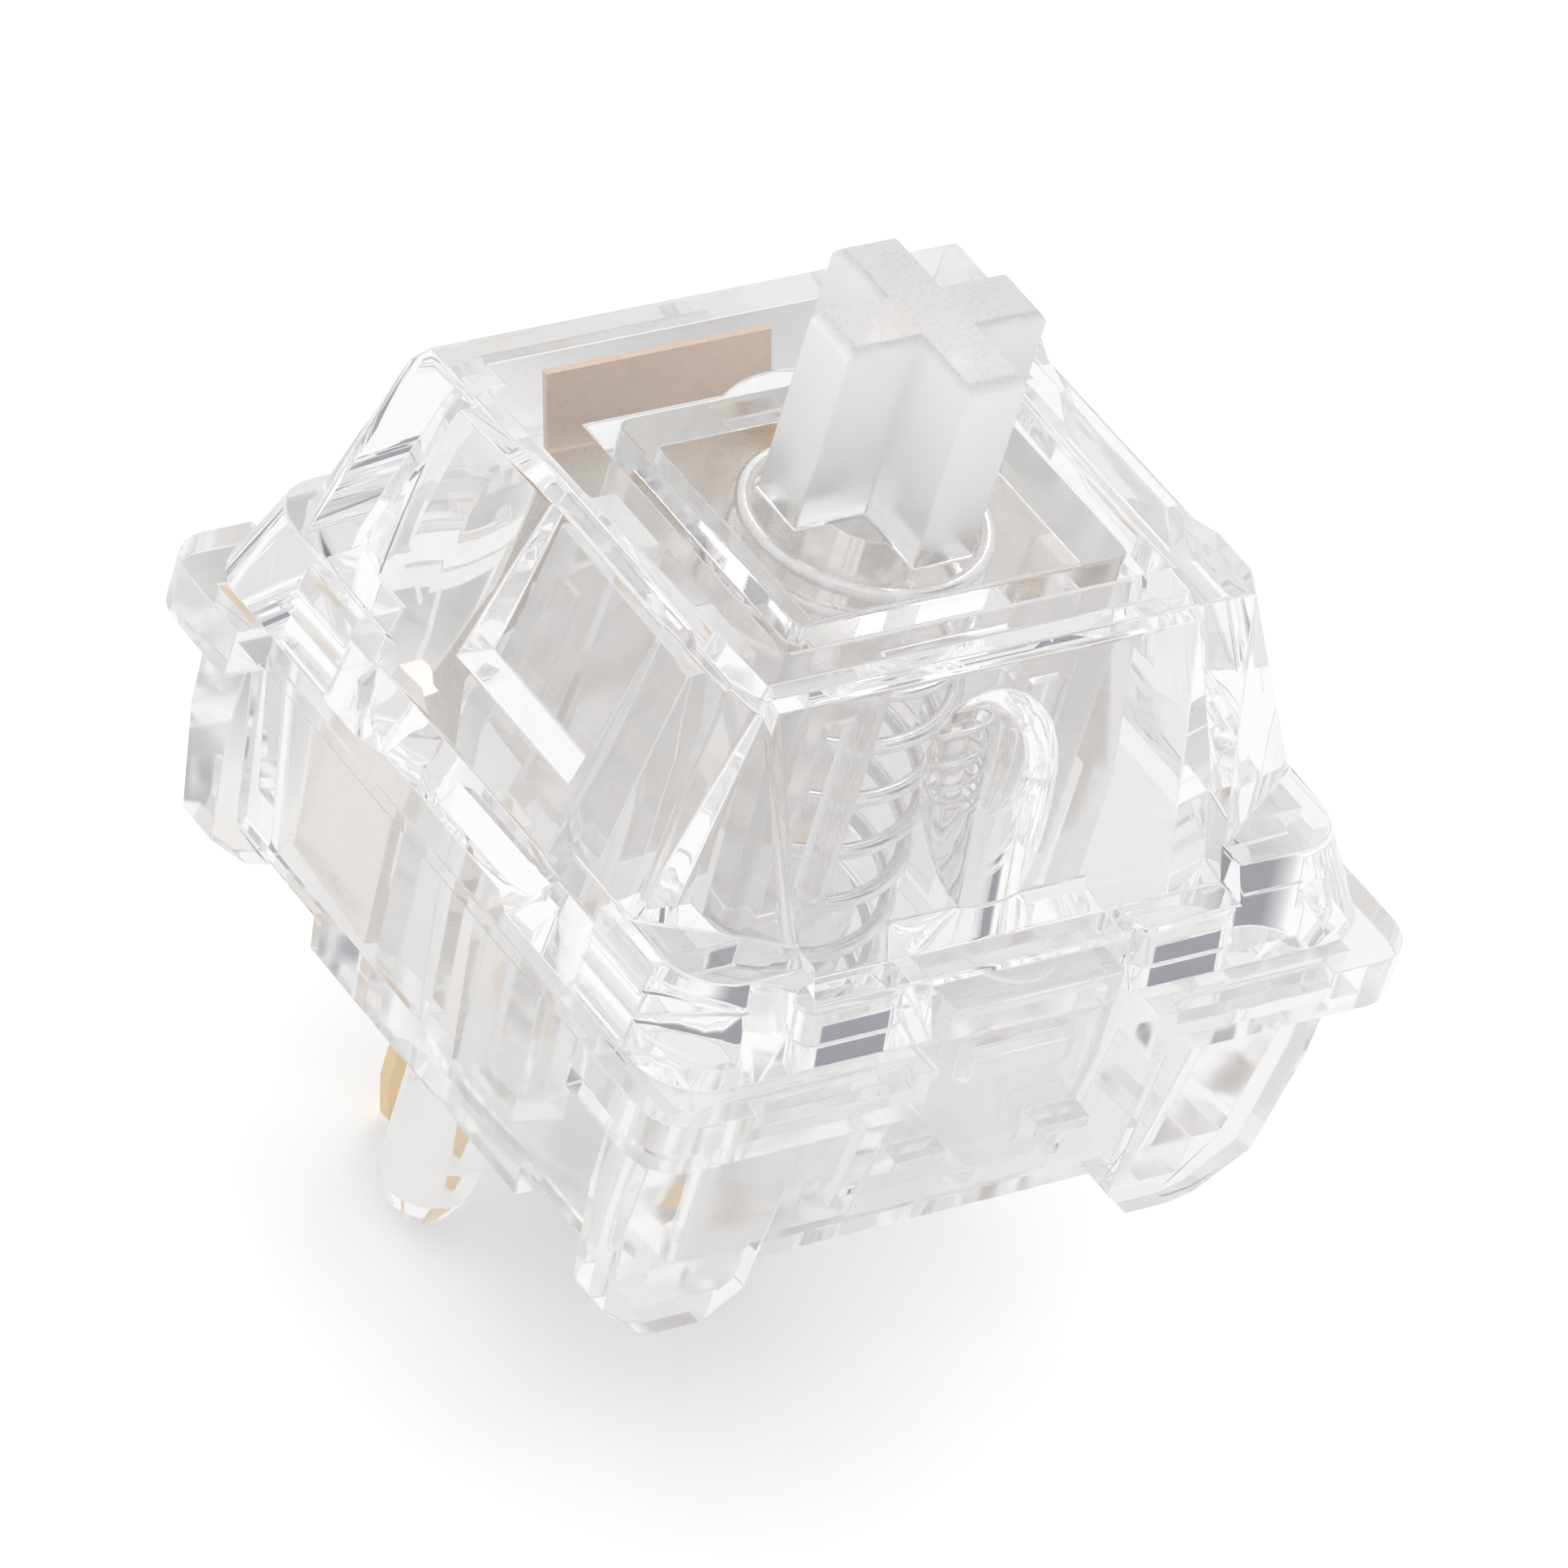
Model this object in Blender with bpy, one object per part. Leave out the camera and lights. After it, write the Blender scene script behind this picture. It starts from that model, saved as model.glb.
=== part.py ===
"""Clear linear key switch for circuit boards: housings, stem, return spring and contacts.

World frame: +Z up along the stem, Z = 0 at the seat under the flange, -Y towards the light
side, +Y towards the contacts. Lengths below are in millimetres and become metres at the end.
"""
import math

import bmesh
import bpy
from mathutils import Vector

MM = 0.001

# Main sizes
FLANGE_WIDTH = 15.6
FLANGE_LENGTH = 15.6
FLANGE_THICKNESS = 1.0
FLANGE_RADIUS = 0.9
BODY_WIDTH = 13.86
BODY_LENGTH = 13.86
BODY_DEPTH = 4.6
BOARD_DEPTH = 5.0
PIN_LENGTH = 3.3
ROOF_WIDTH = 10.8
ROOF_LENGTH = 9.5
ROOF_HEIGHT = 6.45
STEM_HEIGHT = 10.2
TRAVEL = 4.0

# Clearances
SEAT_GAP = 0.04
RUN_GAP = 0.08
TOWER_GAP = 0.1
SLOT_GAP = 0.05

# Lower housing
BODY_RADIUS = 0.5
BODY_TAPER = (0.83, 0.63)
SIDE_WALL = 1.38
END_WALL = 1.08
CAVITY_DEPTH = 3.9
CAVITY_TAPER = (0.45, 0.4)
END_STEP_DEPTH = 3.6
CORNER_STEP_DEPTH = 3.8
SIDE_NOTCH_LENGTH = 10.6
END_NOTCH_WIDTH = 4.5
END_NOTCH_DEPTH = 1.2
SCALLOP_LENGTH = 3.2
SHELF_WIDTH = 3.5
SHELF_HEIGHT = 1.62
SHELF_THICKNESS = 0.77
RING_RADIUS = 0.88
RING_WIDTH = 0.16
RING_HEIGHT = 0.06
RING_Y = -6.1
LEAD_HOLE_RADIUS = 0.5
LEAD_SPACING = 2.54
LEAD_Y = -4.7
LEG_WIDTH = 3.3
LEG_LENGTH = 1.28
TONGUE_WIDTH = 4.1
TONGUE_GAP = 0.3
TONGUE_DEPTH = 3.1
TONGUE_HEIGHT = 0.6
TONGUE_THICKNESS = 0.48
HEAD_WIDTH = 2.1
CATCH_DEPTH = 1.5
CATCH_REACH = 0.37
CATCH_WIDTH = 1.05
POST_RADIUS = 1.95
POST_LENGTH = 3.1
SIDE_POST_RADIUS = 0.85
SIDE_POST_SPACING = 10.16
SIDE_POST_LENGTH = 2.95
TUBE_RADIUS = 1.6
TUBE_HEIGHT = 1.9
SEAT_GROOVE = 0.25
TOWER_SIDE_GAP = 0.6
TOWER_LENGTH = 4.3
TOWER_ROOF_GAP = 0.55
LATCH_WIDTH = 0.55
LATCH_LENGTH = 1.35
LATCH_HEIGHT = 1.1
LATCH_INSET = 1.18
LATCH_REACH = 0.16
LATCH_Y = 3.85

# Upper housing
LEDGE_HEIGHT = 1.56
LEDGE_INSET = 0.45
LEDGE_TAPER = 0.57
LEDGE_RADIUS = 1.2
ROOF_THICKNESS = 0.9
ROOF_SHIFT = 0.61
PANEL_WIDTH = 8.7
PANEL_DROP = 0.6
CAP_INSET = 0.85
CAP_WALL = 1.45
CAP_BACK_INSET = 1.35
BACK_WALL = 0.6
LEAF_ROOM_WIDTH = 8.6
RIM_BEVEL = (0.49, 0.33)
RIM_DEPTH = 0.55
NOTCH_RADIUS = 2.1
NOTCH_DEPTH = 0.35
RECESS_WIDTH = 3.8
RECESS_DEPTH = 0.28
POCKET_WIDTH = 3.2
DOME_RADIUS = 1.5
DOME_TOP = 5.2
DOME_Y = -3.55

# Stem
SHOULDER_WIDTH = 6.8
SHOULDER_LENGTH = 5.54
SHOULDER_RISE = 0.05
SHOULDER_THICKNESS = 0.75
SKIRT_LENGTH = 6.3
STEM_WALL = (0.65, 0.42)
POLE_RADIUS = 0.97
POLE_LENGTH = 9.4
RAIL_REACH = 0.5
RAIL_WIDTH = 1.4
RAIL_DROP = 1.6
CROSS_WIDTH = 4.04
CROSS_X_THICKNESS = 1.15
CROSS_Y_THICKNESS = 1.2
CROSS_BEVEL = 0.2
CROSS_EDGE = 0.07
CORNER_RADIUS = 0.25
FRONT_SLOT_WIDTH = 2.6
FRONT_SLOT_HEIGHT = 4.7
BACK_SLOT_WIDTH = 1.3
BACK_SLOT_HEIGHT = 4.2

# Return spring
COIL_RADIUS = 2.05
WIRE_RADIUS = 0.14
SPRING_TURNS = 10.0

# Contacts
PIN_A = (-3.81, 2.54)
PIN_B = (2.54, 5.08)
PIN_WIDTH = 0.88
SHEET_THICKNESS = 0.3
LEAF_THICKNESS = 0.14
LEAF_Y = 4.27
LEAF_DEPTH = 2.4
LEAF_HEIGHT = 4.1
LIP_RISE = 1.2
LIP_REACH = 0.6
LIP_X = (-3.2, 1.4)
BUMP_HEIGHT = 1.3
CAM_REACH = 0.78
CAM_GAP = 0.1
CAM_X = (-2.0, -0.7)
POINT_XZ = (1.8, 3.4)
POINT_RADIUS = 0.42
POINT_RISE = 0.17
POINT_GAP = 0.22
FIXED_Y = 3.75

# Places worked out from the sizes
FLANGE_X = FLANGE_WIDTH / 2.0
FLANGE_Y = FLANGE_LENGTH / 2.0
BODY_X = BODY_WIDTH / 2.0
BODY_Y = BODY_LENGTH / 2.0
BODY_LOW_Z = -BODY_DEPTH
FOOT_Z = -BOARD_DEPTH
FLOOR_Z = -CAVITY_DEPTH
CAVITY_X = BODY_X - SIDE_WALL
CAVITY_Y = BODY_Y - END_WALL
CAVITY_LOW_X = CAVITY_X - CAVITY_TAPER[0]
CAVITY_LOW_Y = CAVITY_Y - CAVITY_TAPER[1]
PIN_TIP_Z = FOOT_Z - PIN_LENGTH
SKIRT_Z = FLANGE_THICKNESS + SEAT_GAP
LEDGE_Z = SKIRT_Z + LEDGE_HEIGHT
ROOF_Z = ROOF_HEIGHT
ROOF_X = ROOF_WIDTH / 2.0
ROOF_FRONT_Y = ROOF_SHIFT - ROOF_LENGTH / 2.0
ROOF_BACK_Y = ROOF_SHIFT + ROOF_LENGTH / 2.0
CEILING_Z = ROOF_Z - ROOF_THICKNESS
PANEL_X = PANEL_WIDTH / 2.0
PANEL_LOW_Z = LEDGE_Z - PANEL_DROP
SHOULDER_X = SHOULDER_WIDTH / 2.0
SHOULDER_Y = SHOULDER_LENGTH / 2.0
SHOULDER_Z = ROOF_Z + SHOULDER_RISE
SKIRT_LOW_Z = SHOULDER_Z - SKIRT_LENGTH
POLE_LOW_Z = SHOULDER_Z - POLE_LENGTH
RAIL_X = SHOULDER_X + RAIL_REACH
TOWER_X = SHOULDER_X + TOWER_GAP
CAP_X = FLANGE_X - CAP_INSET
TOWER_OUT_X = CAP_X - CAP_WALL - TOWER_SIDE_GAP
TOWER_TOP_Z = CEILING_Z - TOWER_ROOF_GAP
CAM_Y = SHOULDER_Y + CAM_REACH
BUMP_Y = CAM_Y + CAM_GAP
LEAF_ROOT_Z = -LEAF_DEPTH

for old in list(bpy.data.objects):
    bpy.data.objects.remove(old, do_unlink=True)


# Basic solids
def solid(verts, faces):
    """Return a loose object from a closed mesh in millimetres."""
    mesh = bpy.data.meshes.new("solid")
    mesh.from_pydata(verts, [], faces)
    bm = bmesh.new()
    bm.from_mesh(mesh)
    bmesh.ops.recalc_face_normals(bm, faces=bm.faces)
    bm.to_mesh(mesh)
    bm.free()
    ob = bpy.data.objects.new("solid", mesh)
    bpy.context.scene.collection.objects.link(ob)
    return ob


def loft(low, top):
    """Join two outlines of equal count, each a list of 3D points."""
    n = len(low)
    verts = list(low) + list(top)
    faces = [tuple(range(n)), tuple(range(n, 2 * n))]
    for i in range(n):
        j = (i + 1) % n
        faces.append((i, j, n + j, n + i))
    return solid(verts, faces)


def box(x0, x1, y0, y1, z0, z1):
    flat = [(x0, y0), (x1, y0), (x1, y1), (x0, y1)]
    return loft([(x, y, z0) for x, y in flat], [(x, y, z1) for x, y in flat])


def prism_z(points, z0, z1):
    return loft([(x, y, z0) for x, y in points], [(x, y, z1) for x, y in points])


def prism_y(points, y0, y1):
    return loft([(x, y0, z) for x, z in points], [(x, y1, z) for x, z in points])


def prism_x(points, x0, x1):
    return loft([(x0, y, z) for y, z in points], [(x1, y, z) for y, z in points])


def round_rect(x0, x1, y0, y1, r, steps=6):
    """Outline of a rectangle with round corners."""
    pts = []
    corners = ((x1 - r, y1 - r, 0), (x0 + r, y1 - r, 90), (x0 + r, y0 + r, 180), (x1 - r, y0 + r, 270))
    for cx, cy, start in corners:
        for i in range(steps + 1):
            a = math.radians(start + 90.0 * i / steps)
            pts.append((cx + r * math.cos(a), cy + r * math.sin(a)))
    return pts


def turned(profile, cx=0.0, cy=0.0, steps=40):
    """Solid of revolution about a vertical line; the profile runs from axis to axis."""
    verts = []
    rings = []
    for r, z in profile:
        if r < 1e-9:
            rings.append([len(verts)])
            verts.append((cx, cy, z))
            continue
        ring = []
        for i in range(steps):
            a = 2.0 * math.pi * i / steps
            ring.append(len(verts))
            verts.append((cx + r * math.cos(a), cy + r * math.sin(a), z))
        rings.append(ring)
    faces = []
    for one, two in zip(rings, rings[1:]):
        for i in range(steps):
            j = (i + 1) % steps
            if len(one) == 1:
                faces.append((one[0], two[i], two[j]))
            elif len(two) == 1:
                faces.append((one[i], one[j], two[0]))
            else:
                faces.append((one[i], one[j], two[j], two[i]))
    return solid(verts, faces)


def round_ring(r0, r1, z0, z1, cx, cy, steps=32):
    """Flat ring with a square section."""
    verts = []
    for i in range(steps):
        a = 2.0 * math.pi * i / steps
        for r, z in ((r0, z0), (r1, z0), (r1, z1), (r0, z1)):
            verts.append((cx + r * math.cos(a), cy + r * math.sin(a), z))
    faces = []
    for i in range(steps):
        j = (i + 1) % steps
        for k in range(4):
            m = (k + 1) % 4
            faces.append((4 * i + k, 4 * i + m, 4 * j + m, 4 * j + k))
    return solid(verts, faces)


def hull(points):
    """Convex solid around the points."""
    mesh = bpy.data.meshes.new("hull")
    bm = bmesh.new()
    for p in points:
        bm.verts.new(p)
    made = bmesh.ops.convex_hull(bm, input=bm.verts)
    spare = [v for v in made["geom_interior"] if isinstance(v, bmesh.types.BMVert)]
    bmesh.ops.delete(bm, geom=spare, context="VERTS")
    bmesh.ops.dissolve_limit(bm, angle_limit=0.001, verts=bm.verts, edges=bm.edges)
    bmesh.ops.recalc_face_normals(bm, faces=bm.faces)
    bm.to_mesh(mesh)
    bm.free()
    ob = bpy.data.objects.new("hull", mesh)
    bpy.context.scene.collection.objects.link(ob)
    return ob


def apply_tool(base, tool, operation):
    """Change base by a Boolean with tool, and remove tool."""
    mod = base.modifiers.new("cut", "BOOLEAN")
    mod.operation = operation
    mod.solver = "EXACT"
    mod.object = tool
    graph = bpy.context.evaluated_depsgraph_get()
    mesh = bpy.data.meshes.new_from_object(base.evaluated_get(graph))
    base.modifiers.remove(mod)
    base.data = mesh
    bpy.data.objects.remove(tool, do_unlink=True)


def join(base, *tools):
    for tool in tools:
        apply_tool(base, tool, "UNION")


def cut(base, *tools):
    for tool in tools:
        apply_tool(base, tool, "DIFFERENCE")


def material(name, rgb, roughness, metallic, alpha=1.0):
    mat = bpy.data.materials.new(name)
    mat.use_nodes = True
    shader = mat.node_tree.nodes["Principled BSDF"]
    shader.inputs["Base Color"].default_value = (rgb[0], rgb[1], rgb[2], 1.0)
    shader.inputs["Roughness"].default_value = roughness
    shader.inputs["Metallic"].default_value = metallic
    shader.inputs["Alpha"].default_value = alpha
    mat.diffuse_color = (rgb[0], rgb[1], rgb[2], alpha)
    return mat


def finish(ob, name, mat, origin=(0.0, 0.0, 0.0), sharp=18.0):
    """Clean the mesh, scale it to metres, put its origin in place and name it."""
    bm = bmesh.new()
    bm.from_mesh(ob.data)
    bmesh.ops.remove_doubles(bm, verts=bm.verts, dist=0.0005)
    bmesh.ops.dissolve_degenerate(bm, dist=0.0005, edges=bm.edges)
    for v in bm.verts:
        v.co = (v.co - Vector(origin)) * MM
    bmesh.ops.recalc_face_normals(bm, faces=bm.faces)
    mesh = bpy.data.meshes.new(name)
    bm.to_mesh(mesh)
    bm.free()
    mesh.shade_smooth()
    mesh.set_sharp_from_angle(angle=math.radians(sharp))
    ob.data = mesh
    ob.data.materials.clear()
    ob.data.materials.append(mat)
    ob.name = name
    ob.location = Vector(origin) * MM
    return ob


SIGNS = [(-1, -1), (-1, 1), (1, -1), (1, 1)]


def span(a, b, s):
    """Interval a..b on the side s, in rising order."""
    return (a, b) if s > 0 else (-b, -a)


# Lower housing
def lower_walls():
    """Tapered body, carried a little way up into the flange."""
    tx, ty = BODY_TAPER
    low = round_rect(tx - BODY_X, BODY_X - tx, ty - BODY_Y, BODY_Y - ty, BODY_RADIUS)
    top = round_rect(-BODY_X, BODY_X, -BODY_Y, BODY_Y, BODY_RADIUS)
    rise = 0.3
    k = rise / (rise + BODY_DEPTH)
    up = [(x + (x - lx) * k, y + (y - ly) * k, rise) for (x, y), (lx, ly) in zip(top, low)]
    return loft([(x, y, BODY_LOW_Z) for x, y in low], up)


def lower_leg(sx, sy):
    """Corner leg that reaches the board, its outer side drawn in towards the foot."""
    x = BODY_X + 0.07
    w = LEG_WIDTH
    outline = [(x, 0.5), (x, -1.9), (x - 0.3, FOOT_Z + 0.9), (x - 1.2, FOOT_Z + 0.15), (x - 1.7, FOOT_Z),
               (x - w + 0.7, FOOT_Z), (x - w + 0.05, FOOT_Z + 0.65), (x - w, 0.5)]
    y = BODY_Y + 0.05
    inner = [(sx * px, sy * (y - LEG_LENGTH), z) for px, z in outline]
    outer = [(sx * px, sy * (y + 0.085 * min(z, 0.0)), z) for px, z in outline]
    return loft(inner, outer)


def plate_tongue(sy):
    """Sprung tongue in the end wall, with a thumb head and two catches that hold the plate."""
    y = BODY_Y
    t = TONGUE_THICKNESS
    top = TONGUE_HEIGHT
    root = -TONGUE_DEPTH - 0.2
    side = [(y - 0.31, root), (y + 0.02, -0.4), (y - 0.03, top), (y - t, top), (y - t, -0.6),
            (y - t - 0.4, root)]
    ob = prism_x([(sy * v, z) for v, z in side], -TONGUE_WIDTH / 2.0, TONGUE_WIDTH / 2.0)
    out = y + CATCH_REACH
    inside = y - 0.33
    head = [(out, -0.05), (out, top - 0.15), (out - 0.15, top - 0.02), (inside, top - 0.02), (inside, -0.45)]
    join(ob, prism_x([(sy * v, z) for v, z in head], -HEAD_WIDTH / 2.0, HEAD_WIDTH / 2.0))
    z1 = -CATCH_DEPTH
    catch = [(inside, z1), (out, z1 - 0.05), (out, z1 - 0.25), (inside, z1 - 0.95)]
    edge = TONGUE_WIDTH / 2.0 - 0.05
    for s in (-1, 1):
        x0, x1 = span(edge - CATCH_WIDTH, edge, s)
        join(ob, prism_x([(sy * v, z) for v, z in catch], x0, x1))
    return ob


def make_lower_housing():
    ob = lower_walls()
    rim = round_rect(-FLANGE_X, FLANGE_X, -FLANGE_Y, FLANGE_Y, FLANGE_RADIUS)
    flange = prism_z(rim, 0.0, FLANGE_THICKNESS)
    over = FLANGE_THICKNESS + 0.3
    for s in (-1, 1):
        x0, x1 = span(BODY_X + 0.02, FLANGE_X + 0.7, s)
        cut(flange, box(x0, x1, -SIDE_NOTCH_LENGTH / 2.0, SIDE_NOTCH_LENGTH / 2.0, -0.2, over))
    join(ob, flange)
    for s in (-1, 1):
        y0, y1 = span(CAVITY_Y, FLANGE_Y + 0.2, s)
        cut(ob, box(-FLANGE_X, FLANGE_X, y0, y1, FOOT_Z - 1.0, -END_STEP_DEPTH))
        for sy in (-1, 1):
            x0, x1 = span(BODY_X - 1.33, FLANGE_X, s)
            y0, y1 = span(BODY_Y - 3.68, BODY_Y - 0.53, sy)
            cut(ob, box(x0, x1, y0, y1, FOOT_Z - 1.0, -CORNER_STEP_DEPTH))
    for sx, sy in SIGNS:
        join(ob, lower_leg(sx, sy))
    low = round_rect(-CAVITY_LOW_X, CAVITY_LOW_X, -CAVITY_LOW_Y, CAVITY_LOW_Y, BODY_RADIUS + 0.1)
    top = round_rect(-CAVITY_X, CAVITY_X, -CAVITY_Y, CAVITY_Y, BODY_RADIUS + 0.1)
    cut(ob, loft([(x, y, FLOOR_Z) for x, y in low], [(x, y, over) for x, y in top]))
    add_plate_clips(ob)
    add_centre(ob)
    add_towers(ob)
    add_latches(ob)
    add_front_shelf(ob)
    cut_terminal_slots(ob)
    return ob


def add_plate_clips(ob):
    """Two end tongues in their slots, and the undercut scallops in the flange beside them."""
    inside = BODY_Y - 0.33
    start = END_NOTCH_WIDTH / 2.0 + 0.45
    over = FLANGE_THICKNESS + 0.2
    for sy in (-1, 1):
        y0, y1 = span(inside - 0.6, FLANGE_Y + 0.7, sy)
        w = TONGUE_WIDTH / 2.0 + TONGUE_GAP
        cut(ob, box(-w, w, y0, y1, -TONGUE_DEPTH, FLANGE_THICKNESS - 0.2))
        y0, y1 = span(inside, FLANGE_Y + 0.7, sy)
        cut(ob, box(-END_NOTCH_WIDTH / 2.0, END_NOTCH_WIDTH / 2.0, y0, y1, -0.2, END_NOTCH_DEPTH + 0.1))
        join(ob, plate_tongue(sy))
        edge = FLANGE_Y - 0.3
        wedge = [(edge, over), (edge, over - 0.28), (edge + 0.4, over - 0.58), (edge + 0.6, over)]
        for sx in (-1, 1):
            x0, x1 = span(start, start + SCALLOP_LENGTH, sx)
            cut(ob, prism_x([(sy * y, z) for y, z in wedge], x0, x1))


def add_centre(ob):
    """Round post with the guide bore, spring tube and spring groove, and the two side posts."""
    groove = COIL_RADIUS + WIRE_RADIUS + 0.2
    seat = FLOOR_Z - SEAT_GROOVE
    tube_top = FLOOR_Z + TUBE_HEIGHT
    cut(ob, turned([(0.0, seat), (groove, seat), (groove, FLOOR_Z + 0.2), (0.0, FLOOR_Z + 0.2)]))
    hole = TUBE_RADIUS - 0.2
    cut(ob, turned([(0.0, FOOT_Z - 1.0), (hole, FOOT_Z - 1.0), (hole, 0.0), (0.0, 0.0)]))
    bore = POLE_RADIUS + RUN_GAP
    bore_low = POLE_LOW_Z - TRAVEL - 0.15
    post_low = min(FOOT_Z - POST_LENGTH, bore_low - 0.6)
    r = POST_RADIUS
    profile = [(0.0, post_low), (r - 0.45, post_low), (r, post_low + 0.5), (r, seat - 0.2),
               (TUBE_RADIUS, seat - 0.2), (TUBE_RADIUS, tube_top), (bore + 0.2, tube_top),
               (bore, tube_top - 0.2), (bore, bore_low), (0.0, bore_low)]
    join(ob, turned(profile))
    low = FOOT_Z - SIDE_POST_LENGTH
    r = SIDE_POST_RADIUS
    pin = [(0.0, BODY_LOW_Z + 0.3), (r, BODY_LOW_Z + 0.3), (r, low + 0.75), (r - 0.3, low + 0.15),
           (r - 0.55, low), (0.0, low)]
    for s in (-1, 1):
        join(ob, turned(pin, s * SIDE_POST_SPACING / 2.0, 0.0, 32))


def add_towers(ob):
    """Two notched columns that guide the stem's rails, each with a web to the side wall."""
    foot = FLOOR_Z - 0.2
    for s in (-1, 1):
        middle = (TOWER_X + TOWER_OUT_X) / 2.0
        side = [(TOWER_X, foot), (TOWER_OUT_X, foot), (TOWER_OUT_X, FLANGE_THICKNESS), (middle, TOWER_TOP_Z),
                (TOWER_X, TOWER_TOP_Z)]
        tower = prism_y([(s * x, z) for x, z in side], -TOWER_LENGTH / 2.0, TOWER_LENGTH / 2.0)
        x0, x1 = span(TOWER_X - 0.5, RAIL_X + RUN_GAP, s)
        w = RAIL_WIDTH / 2.0 + RUN_GAP
        cut(tower, box(x0, x1, -w, w, FLOOR_Z - 0.5, TOWER_TOP_Z + 0.3))
        join(ob, tower)
        x0, x1 = span(TOWER_OUT_X - 0.3, CAVITY_X + 0.05, s)
        join(ob, box(x0, x1, -0.5, 0.5, foot, FLANGE_THICKNESS - 0.4))


def add_latches(ob):
    """Four short posts whose outer nubs catch in the upper housing."""
    inner = BODY_X - LATCH_INSET
    outer = inner + LATCH_WIDTH
    top = SKIRT_Z + LATCH_HEIGHT - SEAT_GAP
    reach = outer + LATCH_REACH
    nub = [(outer - 0.1, top - 0.5), (reach, top - 0.44), (reach, top - 0.32), (outer - 0.1, top - 0.06)]
    for sx, sy in SIGNS:
        x0, x1 = span(inner, outer, sx)
        y0, y1 = span(LATCH_Y, LATCH_Y + LATCH_LENGTH, sy)
        join(ob, box(x0, x1, y0, y1, FLANGE_THICKNESS - 0.2, top))
        y0, y1 = span(LATCH_Y + 0.1, LATCH_Y + LATCH_LENGTH - 0.1, sy)
        join(ob, prism_y([(sx * x, z) for x, z in nub], y0, y1))


def add_front_shelf(ob):
    """Shelf under the light window with a raised round mark, and the two lead holes behind it."""
    half = SHELF_WIDTH / 2.0
    shelf = box(-half, half, 0.6 - FLANGE_Y, 0.55 - CAVITY_Y, SHELF_HEIGHT - SHELF_THICKNESS, SHELF_HEIGHT)
    inner = RING_RADIUS - RING_WIDTH
    top = SHELF_HEIGHT + RING_HEIGHT
    join(shelf, round_ring(inner, RING_RADIUS, SHELF_HEIGHT - 0.1, top, 0.0, RING_Y))
    join(ob, shelf)
    r = LEAD_HOLE_RADIUS
    low = FOOT_Z - 1.0
    for s in (-1, 1):
        cut(ob, turned([(0.0, low), (r, low), (r, 0.0), (0.0, 0.0)], s * LEAD_SPACING / 2.0, LEAD_Y, 24))


def cut_terminal_slots(ob):
    w = PIN_WIDTH / 2.0 + SLOT_GAP
    h = SHEET_THICKNESS / 2.0 + SLOT_GAP
    for x, y in (PIN_A, PIN_B):
        cut(ob, box(x - w, x + w, y - h, y + h, FOOT_Z - 1.0, FLOOR_Z + 0.9))


# Upper housing
def outer_shape():
    """Tapered cap on a round-cornered ledge, with a recess in each side."""
    rx = ROOF_X
    fx = CAP_X
    fy = FLANGE_Y - CAP_BACK_INSET
    top = [(rx - 0.4, ROOF_FRONT_Y), (rx - 0.1, ROOF_FRONT_Y + 0.54), (rx - 0.04, ROOF_BACK_Y - 0.66),
           (rx, ROOF_BACK_Y)]
    mid = [(PANEL_X, 0.3 - fy), (fx, 1.8 - fy), (fx - 0.05, fy - 0.85), (fx - 0.75, fy)]
    points = []
    for s in (-1, 1):
        points += [(s * x, y, ROOF_Z) for x, y in top]
        points += [(s * x, y, PANEL_LOW_Z) for x, y in mid]
        points.append((s * (rx + 0.1), ROOF_BACK_Y + 0.3, ROOF_Z - 0.45))
    ob = hull(points)
    lx = FLANGE_X - LEDGE_INSET
    front = LEDGE_INSET + 0.15 - FLANGE_Y
    back = FLANGE_Y - LEDGE_INSET - 0.05
    t = LEDGE_TAPER
    base = round_rect(-lx, lx, front, back, LEDGE_RADIUS)
    edge = round_rect(t - lx, lx - t, front + t + 0.18, back - t + 0.17, LEDGE_RADIUS - 0.1)
    ledge = loft([(x, y, SKIRT_Z) for x, y in base], [(x, y, LEDGE_Z) for x, y in edge])
    cut(ledge, box(-PANEL_X, PANEL_X, -FLANGE_Y - 0.2, ROOF_FRONT_Y - 0.36, PANEL_LOW_Z, LEDGE_Z + 0.5))
    join(ob, ledge)
    cut(ob, side_recess(-1), side_recess(1))
    return ob


def side_recess(s):
    """Shallow recess with slanted ends, open towards the side."""
    half = RECESS_WIDTH / 2.0
    foot = FLANGE_X - 1.13
    head = ROOF_X - RECESS_DEPTH - 0.165
    floor = [(foot + 0.54, half - 0.19, 0.9), (foot, half, 1.75), (head, half + 0.29, ROOF_Z + 0.5)]
    reach = 1.5
    flare = 2.4 * reach
    points = []
    for x, y, z in floor:
        for sy in (-1, 1):
            points.append((s * x, sy * y, z))
            points.append((s * (x + reach), sy * (y + flare), z))
    return hull(points)


def side_pocket(s):
    """Framed pocket in the floor of the side recess."""
    half = POCKET_WIDTH / 2.0
    out = half + 0.25
    low_z = ROOF_Z - 3.35
    face = [(FLANGE_X - 2.2, half, low_z), (ROOF_X - 0.42, half, ROOF_Z - 0.45),
            (FLANGE_X - 0.8, out, ROOF_Z - 0.3), (FLANGE_X - 0.3, out, low_z - 0.2)]
    return loft([(s * x, -y, z) for x, y, z in face], [(s * x, y, z) for x, y, z in face])


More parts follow.
